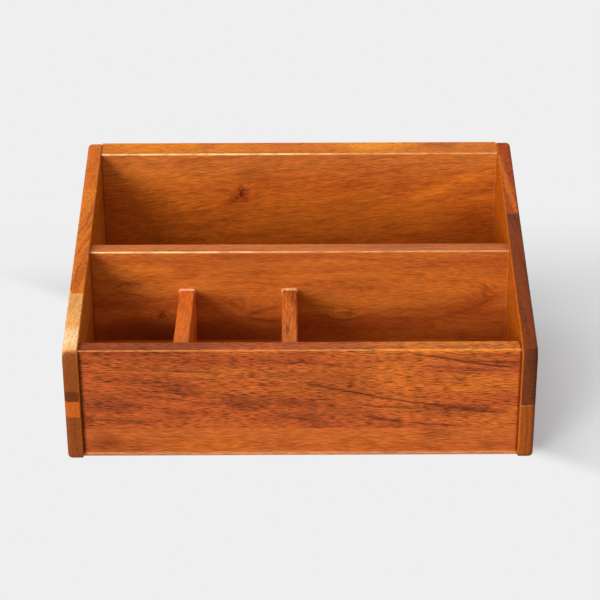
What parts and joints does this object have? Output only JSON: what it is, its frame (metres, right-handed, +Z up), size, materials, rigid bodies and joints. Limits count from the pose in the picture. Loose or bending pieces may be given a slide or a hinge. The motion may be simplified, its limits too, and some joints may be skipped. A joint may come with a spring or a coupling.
{
  "type": "desk organizer",
  "caption": "Open-topped wooden desk organizer with sloping sides, a deep rear tray, two small front cells and a wide front tray.",
  "frame": {"origin": "middle of the footprint, on the surface that the organizer stands on", "axes": "+X to the right along the width, -Y towards the low front, +Z up"},
  "size_m": [0.304, 0.21, 0.1404],
  "materials": {
    "dark_brown_wood": "oiled, dark heartwood",
    "medium_brown_wood": "oiled, brown heartwood",
    "pale_tan_wood": "oiled, pale sapwood",
    "amber_wood": "oiled, amber",
    "red_brown_wood": "oiled, red-brown with open grain",
    "orange_wood": "oiled, orange-brown",
    "floor_wood": "plain, lightly oiled",
    "dowel_wood": "bare beech-like wood"
  },
  "bodies": {
    "root": {"left_side_bottom_stave": "dark_brown_wood", "left_side_lower_stave": "medium_brown_wood", "left_side_middle_stave": "pale_tan_wood", "left_side_upper_stave": "orange_wood", "left_side_top_stave": "amber_wood", "right_side_bottom_stave": "orange_wood", "right_side_lower_stave": "dark_brown_wood", "right_side_upper_stave": "dark_brown_wood", "right_side_top_stave": "amber_wood", "front_panel_lower_stave": "orange_wood", "front_panel_upper_stave": "red_brown_wood", "mid_divider_lower_stave": "orange_wood", "mid_divider_upper_stave": "orange_wood", "back_panel_lower_stave": "orange_wood", "back_panel_upper_stave": "orange_wood", "bottom_panel": "floor_wood", "left_short_divider": "amber_wood", "right_short_divider": "medium_brown_wood", "front_panel_dowels": "dowel_wood", "mid_divider_dowels": "dowel_wood", "back_panel_dowels": "dowel_wood", "short_divider_dowels": "dowel_wood"}
  },
  "joints": []
}
